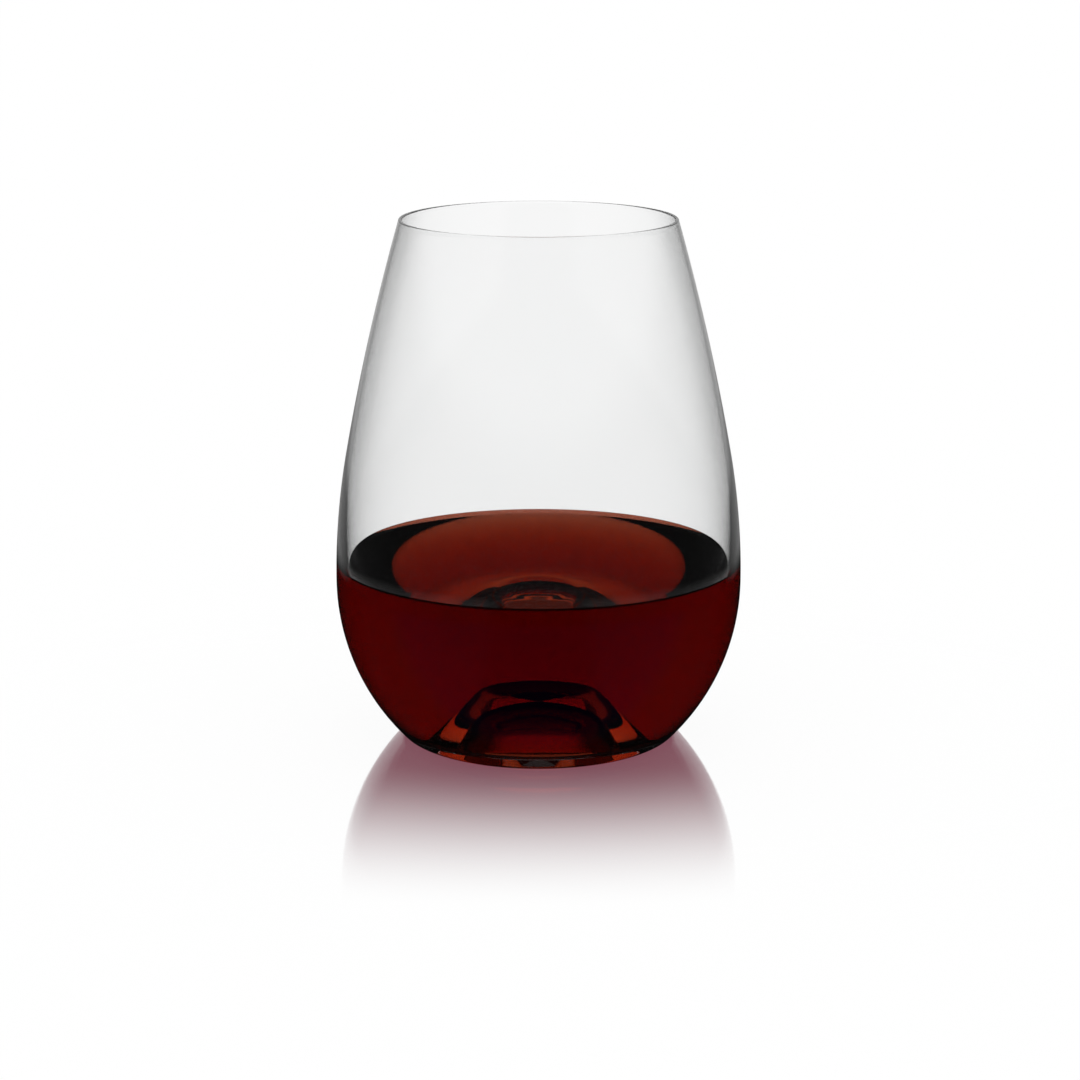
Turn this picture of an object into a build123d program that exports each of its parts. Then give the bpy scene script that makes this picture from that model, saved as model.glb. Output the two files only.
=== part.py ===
"""Stemless wine glass holding a pour of red wine.

The glass is one blown piece: a tulip bowl that draws in to a thin fire-polished lip, a wall that
thickens downwards, and a flat resting ring around a punt, the hollow pushed up into the base.
Inside, the base rises over the punt as a dome. The wine is the only other piece. It fills the bowl
to just above the widest point, covers the dome and climbs the wall in a small meniscus.

Millimetres, +Z up. The origin is the centre of the resting ring, on the surface the glass stands on.
Outlines are half sections: x is the distance from the axis and y is the height.
"""

import os
from math import atan2, tan

from build123d import *

# Outside of the glass
glass_height = 122.0
rim_diameter = 64.2
belly_diameter = 95.0
belly_height = 37.5
shoulder_height = 68.0
shoulder_inset = 2.8
heel_diameter = 63.4
heel_radius = 4.0

# Thickness of the wall, measured level, and of the base under the wine
rim_wall = 0.8
shoulder_wall = 1.2
belly_wall = 2.1
inner_belly_rise = 8.0
base_thickness = 4.2
inner_heel_diameter = 62.0
inner_heel_radius = 5.0

# Punt: the hollow under the base, steep at its side and shallow at its crown
punt_diameter = 28.5
punt_edge_radius = 2.5
punt_depth = 13.5
punt_crown_diameter = 20.0
punt_crown_rise = 3.2
punt_shoulder_radius = 6.0

# Dome over the punt, inside the bowl
dome_thickness = 4.3
dome_crown_diameter = 20.0
dome_crown_rise = 1.2
dome_shoulder_radius = 2.5
dome_foot_diameter = 44.0
dome_foot_radius = 12.0
foot_round_share = 0.6

# Wine
wine_level = 41.2
meniscus_rise = 0.8
meniscus_width = 1.5
wine_gap = 0.1

OUT = "parts"


def wall_arcs(rim, shoulder, belly, foot):
    """Tangent arcs of one side of the wall, upright at the belly, as a list of edges."""
    shoulder_arc = TangentArc(belly, shoulder, tangent=(0, 1))
    upper_arc = TangentArc(shoulder, rim, tangent=shoulder_arc % 1)
    lower_arc = TangentArc(belly, foot, tangent=(0, -1))
    return [upper_arc, shoulder_arc, lower_arc]


def hump(foot, shoulder, apex):
    """Straight side from the foot to the shoulder, then a shallow crown, level at the apex."""
    return [Line(foot, shoulder), TangentArc(apex, shoulder, tangent=(1, 0))]


def rounded(face, corners):
    """The face with each (corner point, radius) rounded."""
    for point, radius in corners:
        corner = face.vertices().sort_by_distance(Vector(*point))[0]
        face = fillet(corner, radius)
    return face


def turned(face):
    """The solid that a half section makes round the Z axis."""
    return revolve(Plane.XZ * face, axis=Axis.Z)


# Corner points of the two surfaces
lip_height = glass_height - rim_wall / 2
rim_outer = (rim_diameter / 2, lip_height)
shoulder_outer = (belly_diameter / 2 - shoulder_inset, shoulder_height)
belly_outer = (belly_diameter / 2, belly_height)
heel_outer = (heel_diameter / 2, 0)
punt_edge = (punt_diameter / 2, 0)
punt_shoulder = (punt_crown_diameter / 2, punt_depth - punt_crown_rise)
punt_apex = (0, punt_depth)

rim_inner = (rim_outer[0] - rim_wall, lip_height)
shoulder_inner = (shoulder_outer[0] - shoulder_wall, shoulder_height)
belly_inner = (belly_outer[0] - belly_wall, belly_height + inner_belly_rise)
heel_inner = (inner_heel_diameter / 2, base_thickness)
dome_foot = (dome_foot_diameter / 2, base_thickness)
dome_height = punt_depth + dome_thickness
dome_shoulder = (dome_crown_diameter / 2, dome_height - dome_crown_rise)
dome_apex = (0, dome_height)

lip_top = (rim_outer[0] - rim_wall / 2, glass_height)
mouth_centre = (0, lip_height)

inner_edges = [
    *wall_arcs(rim_inner, shoulder_inner, belly_inner, heel_inner),
    Line(heel_inner, dome_foot),
    *hump(dome_foot, dome_shoulder, dome_apex),
]

# The round at the dome's foot takes at most its share of the flat floor beside it.
floor_width = heel_inner[0] - dome_foot[0]
dome_side_angle = atan2(dome_shoulder[1] - dome_foot[1], dome_foot[0] - dome_shoulder[0])
foot_round = min(dome_foot_radius, foot_round_share * floor_width / tan(dome_side_angle / 2))
inner_corners = [
    (heel_inner, inner_heel_radius),
    (dome_foot, foot_round),
    (dome_shoulder, dome_shoulder_radius),
]


def glass_section():
    """Half section of the glass, with a full round for its lip."""
    outer_edges = [
        *wall_arcs(rim_outer, shoulder_outer, belly_outer, heel_outer),
        Line(heel_outer, punt_edge),
        *hump(punt_edge, punt_shoulder, punt_apex),
    ]
    closing_edges = [ThreePointArc(rim_inner, lip_top, rim_outer), Line(punt_apex, dome_apex)]
    outer_corners = [
        (heel_outer, heel_radius),
        (punt_edge, punt_edge_radius),
        (punt_shoulder, punt_shoulder_radius),
    ]
    face = make_face([*outer_edges, *inner_edges, *closing_edges])
    return rounded(face, [*outer_corners, *inner_corners])


def bowl_section():
    """Half section of the room inside the glass, up to the lip."""
    closing_edges = [Line(dome_apex, mouth_centre), Line(mouth_centre, rim_inner)]
    return rounded(make_face([*inner_edges, *closing_edges]), inner_corners)


def below_surface():
    """Half section of everything under the wine's surface, which curls up towards the wall."""
    level_end = (belly_inner[0] - meniscus_width, wine_level)
    curl_end = (belly_inner[0], wine_level + meniscus_rise)
    outside = (belly_inner[0], 0)
    curl = TangentArc(level_end, curl_end, tangent=(1, 0))
    lines = Polyline(curl_end, outside, (0, 0), (0, wine_level), level_end)
    return make_face([curl, *lines.edges()])


def wine_section():
    """Half section of the wine, a hair clear of the glass all round."""
    half = bowl_section()
    inside = offset(half + mirror(half, about=Plane.YZ), amount=-wine_gap)
    return inside & below_surface()


def main():
    glass = turned(glass_section())
    wine = turned(wine_section())
    bowl = turned(bowl_section())

    os.makedirs(OUT, exist_ok=True)
    export_step(glass, f"{OUT}/glass_bowl.step")
    export_step(wine, f"{OUT}/red_wine.step")

    cubic_mm_per_ml = 1000
    print(f"glass {glass.volume / cubic_mm_per_ml:.1f} ml")
    print(f"brimful {bowl.volume / cubic_mm_per_ml:.0f} ml, wine {wine.volume / cubic_mm_per_ml:.0f} ml")


if __name__ == "__main__":
    main()
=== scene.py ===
"""Looks for the stemless wine glass: clear glass, red wine, a glossy white table and studio light.

Both pieces are turned from half sections, in millimetres: x is the distance from the axis and y is
the height. The glass is one closed mesh. Its wetted faces bend light as glass against wine does,
and its dry faces as glass against air does. The wine is a second closed mesh, a hair inside the
glass, with one skin for its sides and one for its surface. A number on each face says which of the
two skins of its piece it wears. A disc inside the punt stands for the shaded table there.
"""

import math

import bmesh
import bpy
import numpy as np
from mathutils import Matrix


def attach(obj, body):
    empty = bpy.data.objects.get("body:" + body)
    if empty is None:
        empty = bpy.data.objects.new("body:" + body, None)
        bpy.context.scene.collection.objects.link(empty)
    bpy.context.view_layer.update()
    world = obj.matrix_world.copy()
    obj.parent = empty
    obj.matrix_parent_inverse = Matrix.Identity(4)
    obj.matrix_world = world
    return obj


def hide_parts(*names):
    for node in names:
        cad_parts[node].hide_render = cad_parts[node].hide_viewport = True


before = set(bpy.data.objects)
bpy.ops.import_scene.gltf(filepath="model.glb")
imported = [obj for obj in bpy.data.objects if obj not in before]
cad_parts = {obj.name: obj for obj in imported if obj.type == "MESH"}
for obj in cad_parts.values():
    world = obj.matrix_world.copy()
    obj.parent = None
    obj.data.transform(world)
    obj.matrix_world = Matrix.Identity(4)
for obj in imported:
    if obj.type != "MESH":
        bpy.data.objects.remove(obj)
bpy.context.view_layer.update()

MM = 0.001

# Outside of the glass
GLASS_HEIGHT = 122.0
RIM_DIAMETER = 64.2
BELLY_DIAMETER = 95.0
BELLY_HEIGHT = 37.5
SHOULDER_HEIGHT = 68.0
SHOULDER_INSET = 2.8
HEEL_DIAMETER = 63.4
HEEL_RADIUS = 4.0

# Wall, measured level, and base
RIM_WALL = 0.8
SHOULDER_WALL = 1.2
BELLY_WALL = 2.1
INNER_BELLY_RISE = 8.0
BASE_THICKNESS = 4.2
INNER_HEEL_DIAMETER = 62.0
INNER_HEEL_RADIUS = 5.0

# Punt under the base, and the dome over it
PUNT_DIAMETER = 28.5
PUNT_EDGE_RADIUS = 2.5
PUNT_DEPTH = 13.5
PUNT_CROWN_DIAMETER = 20.0
PUNT_CROWN_RISE = 3.2
PUNT_SHOULDER_RADIUS = 6.0
DOME_THICKNESS = 4.3
DOME_CROWN_DIAMETER = 20.0
DOME_CROWN_RISE = 1.2
DOME_SHOULDER_RADIUS = 2.5
DOME_FOOT_DIAMETER = 44.0
DOME_FOOT_RADIUS = 12.0

# Wine, with the curl of its edge and its distance from the glass
WINE_LEVEL = 41.2
MENISCUS_RISE = 0.8
MENISCUS_WIDTH = 1.5
WINE_CLEARANCE = 0.02

# Mesh: longest step along an outline, largest turn between steps, and faces round the axis
STEP = 1.0
TURN = math.radians(4)
FACES_ROUND = 192
RUN_NUMBER = "run_number"

# An arc that turns less than this, in radians, is straight. A point nearer the axis is on it.
SMALLEST_TURN = 1e-7
ON_AXIS = 1e-9

# Refractive indices, and what each metre of glass or wine takes from red, green and blue
GLASS_INDEX = 1.5
WINE_INDEX = 1.345
GLASS_ABSORPTION = (0.8, 0.56, 0.4)
WINE_ABSORPTION = (20.0, 75.0, 110.0)

# Tints that light takes on where it crosses a skin, each with the tint that the mottling leads to
GLASS_TINT = (1.0, 1.0, 1.0)
GLASS_MOTTLED = (0.994, 0.998, 0.997)
WINE_DEEP = (0.26, 0.022, 0.008)
WINE_DEEP_MOTTLED = (0.24, 0.02, 0.007)
# Painted light: the paler tint that the wine's side takes over the dome's flank, as if lit up
# through the punt
WINE_PAINTED_LIGHT = (0.6, 0.3, 0.2)
WINE_PAINTED_LIGHT_MOTTLED = (0.62, 0.32, 0.22)
WINE_SURFACE = (0.33, 0.32, 0.32)
WINE_SURFACE_MOTTLED = (0.31, 0.3, 0.3)

# The wine's side is painted lighter over the flank of the dome, as if lit up through the punt:
# metres from the axis where it stops being deep over the crown, and where it becomes deep again
# outside
WINE_CROWN = (0.007, 0.010)
WINE_SIDE = (0.020, 0.030)

# Mottling, in lumps a metre, drawn out upwards, and the depth of the glass's ripple in metres
LUMPS = 60.0
LUMP_STRETCH = (1, 1, 0.3)
LUMP_DETAIL = 2.0
RIPPLE = 0.000001

# Light by the height it comes from: start and end in degrees above the horizon, then the level
# up to the start and the level from the end on.
# Light that went straight through the glass
OVER = (20, 30, 1.0, 0.4)
# Light that was mirrored once inside the glass or wine: from the room, the table and overhead
LOW_ROOM = (-4, 4, 0.03, 0.006)
LIT_TABLE = (-26, -19, 0.25, 0.0)
HIGH_ROOM = (22, 34, 0.0, 0.15)
# Light that was mirrored there more than once
DEEP_ROOM = (-4, 4, 0.35, 0.025)
# Light that an outside face reflects: from the room, from low behind the viewer, and at a glancing
# angle from ahead, in two steps
REFLECTED = (7, 14.5, 0.004, 1.0)
COOL_LOW = (-16, -14, 0.028, 0.0)
GLANCED_LOW = (-14.3, -12.8, 0.0, 0.3)
GLANCED = (-11.5, -7, 0.0, 0.65)

# Colour of the low light from behind the viewer, and the heights it is mixed in at
COOL = (0.25, 0.12, 1.0)
COOL_HEIGHT = (-14.5, -13.5, 1.0, 0.0)

# Share of light by the direction it comes from: start and end as the part of a unit vector that
# points ahead, or to either side, then the share up to the start and the share from the end on
AHEAD = (0.6, 0.88, 0.0, 1.0)
BEHIND = (-0.2, 0.2, 1.0, 0.0)
LIT_SIDES = (0.3, 0.5, 0.0, 1.0)

# Table, in metres: the share that is matt, and the mirrored shares of red, green and blue, which
# fade out from the glass, less quickly to its sides
TABLE_RADIUS = 20
TABLE_CORNERS = 128
MATT_SHARE = 0.06
# Near the glass the glow makes up the rest of white. Where the mirror shows the dark glass, that
# glow is a painted pink reflection.
MIRROR_COLOUR = (0.745, 0.87, 0.845)
MIRROR_ROUGHNESS = 0.03
MIRROR_FADE = (0.030, 0.118)
MIRROR_WIDTH = 0.6
WHITE = (1.0, 1.0, 1.0)
BLACK = (0.0, 0.0, 0.0)

# Shaded table inside the punt: radius and height in millimetres, and how bright it is
SHADE_RADIUS = 13.5
SHADE_HEIGHT = 0.05
SHADE_LEVEL = 0.25
SHADE_CORNERS = 64

# Camera: lens and sensor in millimetres, sideways shift as a share of the picture, nearest distance
# and place in metres, and degrees that it looks down
LENS = 94.3
SENSOR = 36.0
SHIFT = 1.45 / 1080
NEAREST = 0.01
CAMERA_PLACE = (0, -0.645, 0.2062)
CAMERA_PITCH = 13.93

# Light crosses a dozen surfaces on its way through the wine, the dome and the punt.
BOUNCES = 32


def unit(vector):
    """The vector at a length of 1."""
    return np.asarray(vector, float) / np.hypot(*vector)


def straight(start, end):
    """Points of a straight run."""
    start, end = np.asarray(start, float), np.asarray(end, float)
    count = max(2, int(np.hypot(*(end - start)) / STEP) + 1)
    return start + np.linspace(0, 1, count)[:, None] * (end - start)


def arc(start, direction, end):
    """Points of the arc that leaves start along direction and reaches end."""
    start, end, along = np.asarray(start, float), np.asarray(end, float), unit(direction)
    chord = end - start
    half_turn = math.atan2(along[0] * chord[1] - along[1] * chord[0], along @ chord)
    if abs(half_turn) < SMALLEST_TURN:
        return straight(start, end)
    radius = np.hypot(*chord) / (2 * math.sin(half_turn))
    centre = start + radius * np.array([-along[1], along[0]])
    length = abs(2 * radius * half_turn)
    count = max(3, int(length / STEP) + 2, int(abs(2 * half_turn) / TURN) + 2)
    turn = np.linspace(0, 2 * half_turn, count)[:, None]
    spoke = start - centre
    across = np.array([-spoke[1], spoke[0]])
    return centre + np.cos(turn) * spoke + np.sin(turn) * across


def shortened(points, length):
    """The run of points without its last stretch of that length."""
    distance = np.concatenate([[0], np.cumsum(np.hypot(*np.diff(points, axis=0).T))])
    end = distance[-1] - length
    last = np.searchsorted(distance, end) - 1
    share = (end - distance[last]) / (distance[last + 1] - distance[last])
    cut = points[last] + share * (points[last + 1] - points[last])
    return np.vstack([points[: last + 1], cut])


def joined(first, second, radius):
    """Two runs that meet at a corner, joined by a round of that radius."""
    into, out = unit(first[-1] - first[-2]), unit(second[1] - second[0])
    turn = abs(math.atan2(into[0] * out[1] - into[1] * out[0], into @ out))
    cut = radius * math.tan(turn / 2)
    first, second = shortened(first, cut), shortened(second[::-1], cut)[::-1]
    bend = arc(first[-1], first[-1] - first[-2], second[0])
    return np.vstack([first[:-1], bend, second[1:]])


def wall(rim, shoulder, belly, foot):
    """One side of the wall from rim to foot, in tangent arcs, upright at the belly."""
    shoulder_arc = arc(belly, (0, 1), shoulder)
    upper_arc = arc(shoulder, shoulder_arc[-1] - shoulder_arc[-2], rim)
    lower_arc = arc(belly, (0, -1), foot)
    return np.vstack([upper_arc[::-1], shoulder_arc[::-1][1:], lower_arc[1:]])


def base(side, corners, radii, apex):
    """A side of the wall carried on along the base and up the punt or dome to its apex.

    The corners are the heel, the foot of the punt or dome, and the edge of its crown.
    """
    heel, foot, crown_edge = corners
    heel_radius, foot_radius, shoulder_radius = radii
    points = joined(side, straight(heel, foot), heel_radius)
    points = joined(points, straight(foot, crown_edge), foot_radius)
    return joined(points, arc(apex, (1, 0), crown_edge)[::-1], shoulder_radius)


def outer_side():
    """Outside of the glass, from the lip to the apex of the punt."""
    rim = (RIM_DIAMETER / 2, GLASS_HEIGHT - RIM_WALL / 2)
    shoulder = (BELLY_DIAMETER / 2 - SHOULDER_INSET, SHOULDER_HEIGHT)
    belly = (BELLY_DIAMETER / 2, BELLY_HEIGHT)
    heel = (HEEL_DIAMETER / 2, 0)
    edge = (PUNT_DIAMETER / 2, 0)
    crown_edge = (PUNT_CROWN_DIAMETER / 2, PUNT_DEPTH - PUNT_CROWN_RISE)
    radii = (HEEL_RADIUS, PUNT_EDGE_RADIUS, PUNT_SHOULDER_RADIUS)
    side = wall(rim, shoulder, belly, heel)
    return base(side, (heel, edge, crown_edge), radii, (0, PUNT_DEPTH))


def inner_side():
    """Inside of the glass, from the lip to the apex of the dome."""
    rim = (RIM_DIAMETER / 2 - RIM_WALL, GLASS_HEIGHT - RIM_WALL / 2)
    shoulder = (BELLY_DIAMETER / 2 - SHOULDER_INSET - SHOULDER_WALL, SHOULDER_HEIGHT)
    belly = (BELLY_DIAMETER / 2 - BELLY_WALL, BELLY_HEIGHT + INNER_BELLY_RISE)
    heel = (INNER_HEEL_DIAMETER / 2, BASE_THICKNESS)
    foot = (DOME_FOOT_DIAMETER / 2, BASE_THICKNESS)
    dome_height = PUNT_DEPTH + DOME_THICKNESS
    crown_edge = (DOME_CROWN_DIAMETER / 2, dome_height - DOME_CROWN_RISE)
    radii = (INNER_HEEL_RADIUS, DOME_FOOT_RADIUS, DOME_SHOULDER_RADIUS)
    side = wall(rim, shoulder, belly, heel)
    return base(side, (heel, foot, crown_edge), radii, (0, dome_height))


def wetted(inner):
    """The inside from the dome's apex up to where the wine's edge meets the wall, and the rest."""
    rising = inner[::-1]
    contact = WINE_LEVEL + MENISCUS_RISE
    first_dry = next(i for i, height in enumerate(rising[:, 1]) if height > contact)
    low, high = rising[first_dry - 1], rising[first_dry]
    edge = low + (contact - low[1]) / (high[1] - low[1]) * (high - low)
    return np.vstack([rising[:first_dry], edge]), np.vstack([edge, rising[first_dry:]])


def inset(points, amount):
    """The run of points moved towards the wine."""
    along = np.gradient(points, axis=0)
    across = np.stack([-along[:, 1], along[:, 0]], 1)
    moved = points + amount * across / np.hypot(*along.T)[:, None]
    moved[0] = (0, points[0, 1] + amount)
    moved[-1] = points[-1] - (amount, 0)
    return moved


def turned(name, runs):
    """A closed mesh turned from runs of points. Each face holds its run's number."""
    mesh = bpy.data.meshes.new(name)
    shape = bmesh.new()
    run_number = shape.faces.layers.float.new(RUN_NUMBER)
    angles = np.arange(FACES_ROUND) * 2 * math.pi / FACES_ROUND
    circle = [(math.cos(angle), math.sin(angle)) for angle in angles]

    def ring(x, y):
        """The points that one point makes round the axis. On the axis they are all the same one."""
        if x < ON_AXIS:
            return [shape.verts.new((0, 0, y * MM))] * FACES_ROUND
        return [shape.verts.new((x * MM * cos, x * MM * sin, y * MM)) for cos, sin in circle]

    last = ring(*runs[0][0])
    for number, run in enumerate(runs):
        for point in run[1:]:
            new = ring(*point)
            for i in range(FACES_ROUND):
                j = (i + 1) % FACES_ROUND
                corners = dict.fromkeys((last[i], last[j], new[j], new[i]))
                face = shape.faces.new(corners)
                face.smooth = True
                face[run_number] = number
            last = new
    bmesh.ops.recalc_face_normals(shape, faces=shape.faces)
    shape.to_mesh(mesh)
    shape.free()
    piece = bpy.data.objects.new(name, mesh)
    bpy.context.scene.collection.objects.link(piece)
    return piece


def link(tree, output, target):
    """Links one node's output to another node's input."""
    tree.links.new(output, target)


def feed(tree, value, target):
    """Gives an input a number or a colour, or links another node's output to it."""
    if isinstance(value, bpy.types.NodeSocket):
        link(tree, value, target)
    elif isinstance(value, tuple):
        target.default_value = (*value, 1)
    else:
        target.default_value = value


def map_range(tree, value, start, end, low, high):
    """A smooth step from low, at start, to high, at end."""
    node = tree.nodes.new("ShaderNodeMapRange")
    node.interpolation_type = "SMOOTHSTEP"
    sockets = ("From Min", "From Max", "To Min", "To Max")
    for socket, number in zip(sockets, (start, end, low, high)):
        node.inputs[socket].default_value = number
    link(tree, value, node.inputs["Value"])
    return node.outputs["Result"]


def calculated(tree, operation, *values):
    """A Math node's output from numbers or other outputs."""
    node = tree.nodes.new("ShaderNodeMath")
    node.operation = operation
    for socket, value in zip(node.inputs, values):
        feed(tree, value, socket)
    return node.outputs[0]


def chosen(tree, switch, off, on):
    """off where the switch output is 0, on where it is 1."""
    node = tree.nodes.new("ShaderNodeMix")
    link(tree, switch, node.inputs[0])
    feed(tree, off, node.inputs[2])
    feed(tree, on, node.inputs[3])
    return node.outputs[0]


def tinted(tree, factor, first, second):
    """A colour between two colours."""
    node = tree.nodes.new("ShaderNodeMix")
    node.data_type = "RGBA"
    link(tree, factor, node.inputs["Factor"])
    feed(tree, first, node.inputs["A"])
    feed(tree, second, node.inputs["B"])
    return node.outputs["Result"]


def mottling(tree):
    """Soft noise fixed to the piece."""
    place = tree.nodes.new("ShaderNodeTexCoord")
    mapping = tree.nodes.new("ShaderNodeMapping")
    mapping.inputs["Scale"].default_value = LUMP_STRETCH
    texture = tree.nodes.new("ShaderNodeTexNoise")
    texture.inputs["Scale"].default_value = LUMPS
    texture.inputs["Detail"].default_value = LUMP_DETAIL
    link(tree, place.outputs["Object"], mapping.inputs["Vector"])
    link(tree, mapping.outputs["Vector"], texture.inputs["Vector"])
    return texture.outputs["Fac"]


def scaled_length(tree, vector, scale):
    """Length of a vector whose parts are scaled first."""
    scaled = tree.nodes.new("ShaderNodeVectorMath")
    scaled.operation = "MULTIPLY"
    scaled.inputs[1].default_value = scale
    length = tree.nodes.new("ShaderNodeVectorMath")
    length.operation = "LENGTH"
    link(tree, vector, scaled.inputs[0])
    link(tree, scaled.outputs["Vector"], length.inputs[0])
    return length.outputs["Value"]


def blank_material(name):
    """A material with nothing but its output, with its node tree and the output."""
    material = bpy.data.materials.new(name)
    material.use_nodes = True
    tree = material.node_tree
    tree.nodes.clear()
    return material, tree, tree.nodes.new("ShaderNodeOutputMaterial")


def skin(tree, index, colour):
    """A polished see-through surface."""
    shader = tree.nodes.new("ShaderNodeBsdfPrincipled")
    shader.inputs["Roughness"].default_value = 0.0
    shader.inputs["IOR"].default_value = index
    shader.inputs["Transmission Weight"].default_value = 1.0
    link(tree, colour, shader.inputs["Base Color"])
    return shader


def fill(tree, output, absorption):
    """Fills a material with something that takes light up."""
    volume = tree.nodes.new("ShaderNodeVolumeAbsorption")
    density = max(absorption)
    volume.inputs["Density"].default_value = density
    volume.inputs["Color"].default_value = (*(1 - each / density for each in absorption), 1)
    link(tree, volume.outputs["Volume"], output.inputs["Volume"])


def cover(tree, output, first, second):
    """Puts the first skin on the faces of a piece's first run and the second skin on the rest."""
    number = tree.nodes.new("ShaderNodeAttribute")
    number.attribute_name = RUN_NUMBER
    both = tree.nodes.new("ShaderNodeMixShader")
    link(tree, number.outputs["Fac"], both.inputs["Fac"])
    link(tree, first.outputs["BSDF"], both.inputs[1])
    link(tree, second.outputs["BSDF"], both.inputs[2])
    link(tree, both.outputs[0], output.inputs["Surface"])


def make_glass(wet, dry, outer):
    """The glass: wetted faces in the first run, dry ones in the second."""
    lip_top = (RIM_DIAMETER / 2 - RIM_WALL / 2, GLASS_HEIGHT)
    lip = np.vstack([arc(dry[-1], (0, 1), lip_top), arc(lip_top, (1, 0), outer[0])[1:]])
    glass = turned("glass_bowl_clear", [wet, np.vstack([dry, lip[1:], outer[1:]])])
    material, tree, output = blank_material("clear_glass")
    fill(tree, output, GLASS_ABSORPTION)
    lumps = mottling(tree)
    tint = tinted(tree, lumps, GLASS_TINT, GLASS_MOTTLED)
    wetted_skin = skin(tree, GLASS_INDEX / WINE_INDEX, tint)
    dry_skin = skin(tree, GLASS_INDEX, tint)
    ripple = tree.nodes.new("ShaderNodeBump")
    ripple.inputs["Distance"].default_value = RIPPLE
    link(tree, lumps, ripple.inputs["Height"])
    link(tree, ripple.outputs["Normal"], dry_skin.inputs["Normal"])
    cover(tree, output, wetted_skin, dry_skin)
    glass.data.materials.append(material)
    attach(glass, "glass")
    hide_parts("glass_bowl")


def make_wine(wet):
    """The wine: its sides, which only tint and are painted lighter over the dome's flank, in the
    first run and its surface in the second.
    """
    side = inset(wet, WINE_CLEARANCE)
    curl_start = (side[-1, 0] - MENISCUS_WIDTH, WINE_LEVEL)
    curl = arc(curl_start, (1, 0), side[-1])[::-1]
    surface = np.vstack([curl, straight(curl_start, (0, WINE_LEVEL))[1:]])
    wine = turned("red_wine_pour", [side, surface])
    material, tree, output = blank_material("red_wine")
    fill(tree, output, WINE_ABSORPTION)
    lumps = mottling(tree)
    deep = tinted(tree, lumps, WINE_DEEP, WINE_DEEP_MOTTLED)
    painted_light = tinted(tree, lumps, WINE_PAINTED_LIGHT, WINE_PAINTED_LIGHT_MOTTLED)
    surface_tint = tinted(tree, lumps, WINE_SURFACE, WINE_SURFACE_MOTTLED)
    place = tree.nodes.new("ShaderNodeTexCoord")
    distance = scaled_length(tree, place.outputs["Object"], (1, 1, 0))
    # Painted light: the side skin takes the paler tint over the flank of the dome, as if the wine
    # there were lit up through the punt.
    crown_share = map_range(tree, distance, *WINE_CROWN, 1.0, 0.0)
    side_share = map_range(tree, distance, *WINE_SIDE, 0.0, 1.0)
    deep_share = calculated(tree, "MAXIMUM", crown_share, side_share)
    side_skin = skin(tree, 1.0, tinted(tree, deep_share, painted_light, deep))
    cover(tree, output, side_skin, skin(tree, WINE_INDEX, surface_tint))
    wine.data.materials.append(material)
    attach(wine, "wine")
    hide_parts("red_wine")


def make_table():
    """A white table, glossy under the glass and matt further out, that keeps a soft shadow. Its
    glow under the glass paints the reflection pink.
    """
    bpy.ops.mesh.primitive_circle_add(
        vertices=TABLE_CORNERS, radius=TABLE_RADIUS, fill_type="NGON"
    )
    table = bpy.context.object
    table.name = "table"
    material, tree, output = blank_material("white_table")
    light_path = tree.nodes.new("ShaderNodeLightPath")
    place = tree.nodes.new("ShaderNodeNewGeometry")
    distance = scaled_length(tree, place.outputs["Position"], (MIRROR_WIDTH, 1, 1))
    fade = map_range(tree, distance, *MIRROR_FADE, 0.0, 1.0)

    # Glow for the camera alone, white far out. Near the glass it is pink: a painted reflection
    # where the mirror shows the dark glass.
    glow = tree.nodes.new("ShaderNodeEmission")
    near_glow_and_painted_reflection = tuple(1 - MATT_SHARE - each for each in MIRROR_COLOUR)
    far_glow = (1 - MATT_SHARE,) * 3
    link(tree, tinted(tree, fade, near_glow_and_painted_reflection, far_glow), glow.inputs["Color"])
    link(tree, light_path.outputs["Is Camera Ray"], glow.inputs["Strength"])
    matt = tree.nodes.new("ShaderNodeBsdfDiffuse")
    feed(tree, (MATT_SHARE,) * 3, matt.inputs["Color"])
    gloss = tree.nodes.new("ShaderNodeBsdfGlossy")
    link(tree, tinted(tree, fade, MIRROR_COLOUR, BLACK), gloss.inputs["Color"])
    gloss.inputs["Roughness"].default_value = MIRROR_ROUGHNESS

    own = tree.nodes.new("ShaderNodeAddShader")
    both = tree.nodes.new("ShaderNodeAddShader")
    link(tree, glow.outputs[0], own.inputs[0])
    link(tree, matt.outputs[0], own.inputs[1])
    link(tree, own.outputs[0], both.inputs[0])
    link(tree, gloss.outputs[0], both.inputs[1])
    link(tree, both.outputs[0], output.inputs["Surface"])
    table.data.materials.append(material)
    table.visible_transmission = False
    table.visible_glossy = False


def make_shade():
    """The shaded patch of the table inside the punt, which is seen only through the glass."""
    bpy.ops.mesh.primitive_circle_add(
        vertices=SHADE_CORNERS,
        radius=SHADE_RADIUS * MM,
        fill_type="NGON",
        location=(0, 0, SHADE_HEIGHT * MM),
    )
    shade = bpy.context.object
    shade.name = "table_shade"
    material, tree, output = blank_material("shaded_table")
    glow = tree.nodes.new("ShaderNodeEmission")
    feed(tree, (SHADE_LEVEL,) * 3, glow.inputs["Color"])
    link(tree, glow.outputs[0], output.inputs["Surface"])
    shade.data.materials.append(material)


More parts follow.
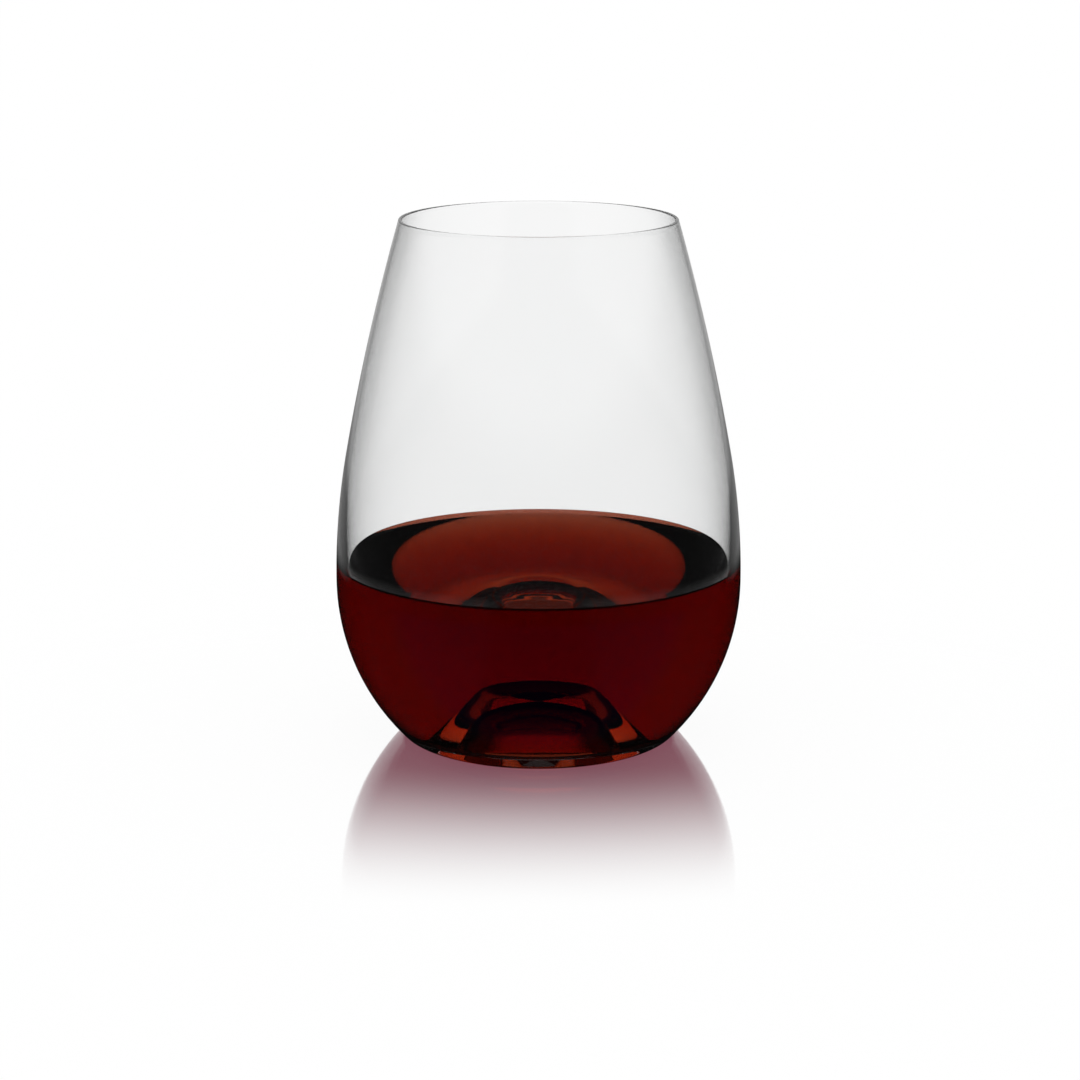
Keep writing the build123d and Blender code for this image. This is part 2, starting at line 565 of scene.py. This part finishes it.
def make_light():
    """White all round. Light mirrored inside the glass or wine comes from a darker room."""
    world = bpy.data.worlds.new("studio")
    bpy.context.scene.world = world
    world.use_nodes = True
    tree = world.node_tree
    tree.nodes.clear()
    place = tree.nodes.new("ShaderNodeTexCoord")
    parts = tree.nodes.new("ShaderNodeSeparateXYZ")
    light_path = tree.nodes.new("ShaderNodeLightPath")
    background = tree.nodes.new("ShaderNodeBackground")
    output = tree.nodes.new("ShaderNodeOutputWorld")
    link(tree, place.outputs["Generated"], parts.inputs[0])
    height = calculated(tree, "DEGREES", calculated(tree, "ARCSINE", parts.outputs["Z"]))
    sideways = calculated(tree, "ABSOLUTE", parts.outputs["X"])
    forwards = parts.outputs["Y"]
    behind = map_range(tree, forwards, *BEHIND)
    camera_ray = light_path.outputs["Is Camera Ray"]
    glossy_ray = light_path.outputs["Is Glossy Ray"]
    through_ray = light_path.outputs["Is Transmission Ray"]
    mirrorings = light_path.outputs["Glossy Depth"]

    def by_height(levels):
        return map_range(tree, height, *levels)

    # Light that comes out through the glass, mirrored inside it or not
    lit_sides = map_range(tree, sideways, *LIT_SIDES)
    lit_table = calculated(tree, "MULTIPLY", by_height(LIT_TABLE), lit_sides)
    room = calculated(tree, "MAXIMUM", by_height(LOW_ROOM), lit_table)
    room = calculated(tree, "MAXIMUM", room, by_height(HIGH_ROOM))
    mirrored = calculated(tree, "GREATER_THAN", mirrorings, 0)
    mirrored_again = calculated(tree, "GREATER_THAN", mirrorings, 1)
    room = chosen(tree, mirrored_again, room, by_height(DEEP_ROOM))
    seen_through = chosen(tree, mirrored, by_height(OVER), room)

    # Light that an outside face reflects
    glanced = calculated(tree, "MAXIMUM", by_height(GLANCED_LOW), by_height(GLANCED))
    glanced = calculated(tree, "MULTIPLY", glanced, map_range(tree, forwards, *AHEAD))
    cool_low = calculated(tree, "MULTIPLY", by_height(COOL_LOW), behind)
    reflected = calculated(tree, "MAXIMUM", by_height(REFLECTED), glanced)
    reflected = calculated(tree, "MAXIMUM", reflected, cool_low)

    level = chosen(tree, glossy_ray, 1.0, reflected)
    level = chosen(tree, through_ray, level, seen_through)
    level = chosen(tree, camera_ray, level, 1.0)

    # A ray through smooth glass counts as glossy too, so those are taken off.
    outside = calculated(tree, "SUBTRACT", glossy_ray, through_ray)
    cool = calculated(tree, "MULTIPLY", by_height(COOL_HEIGHT), behind)
    cool = calculated(tree, "MULTIPLY", cool, outside)
    link(tree, tinted(tree, cool, WHITE, COOL), background.inputs["Color"])
    link(tree, level, background.inputs["Strength"])
    link(tree, background.outputs[0], output.inputs["Surface"])


def make_camera():
    """The viewpoint: in front of the glass and a little above it, looking down."""
    camera = bpy.data.cameras.new("camera")
    camera.lens = LENS
    camera.sensor_width = SENSOR
    camera.shift_x = SHIFT
    camera.clip_start = NEAREST
    holder = bpy.data.objects.new("camera", camera)
    holder.location = CAMERA_PLACE
    holder.rotation_euler = (math.radians(90 - CAMERA_PITCH), 0, 0)
    bpy.context.scene.collection.objects.link(holder)
    bpy.context.scene.camera = holder


bpy.context.scene.view_settings.view_transform = "Standard"
wet_run, dry_run = wetted(inner_side())
make_glass(wet_run, dry_run, outer_side())
make_wine(wet_run)
make_table()
make_shade()
make_light()
make_camera()
bpy.context.scene.cycles.max_bounces = BOUNCES
bpy.context.scene.cycles.transmission_bounces = BOUNCES

bpy.context.view_layer.update()
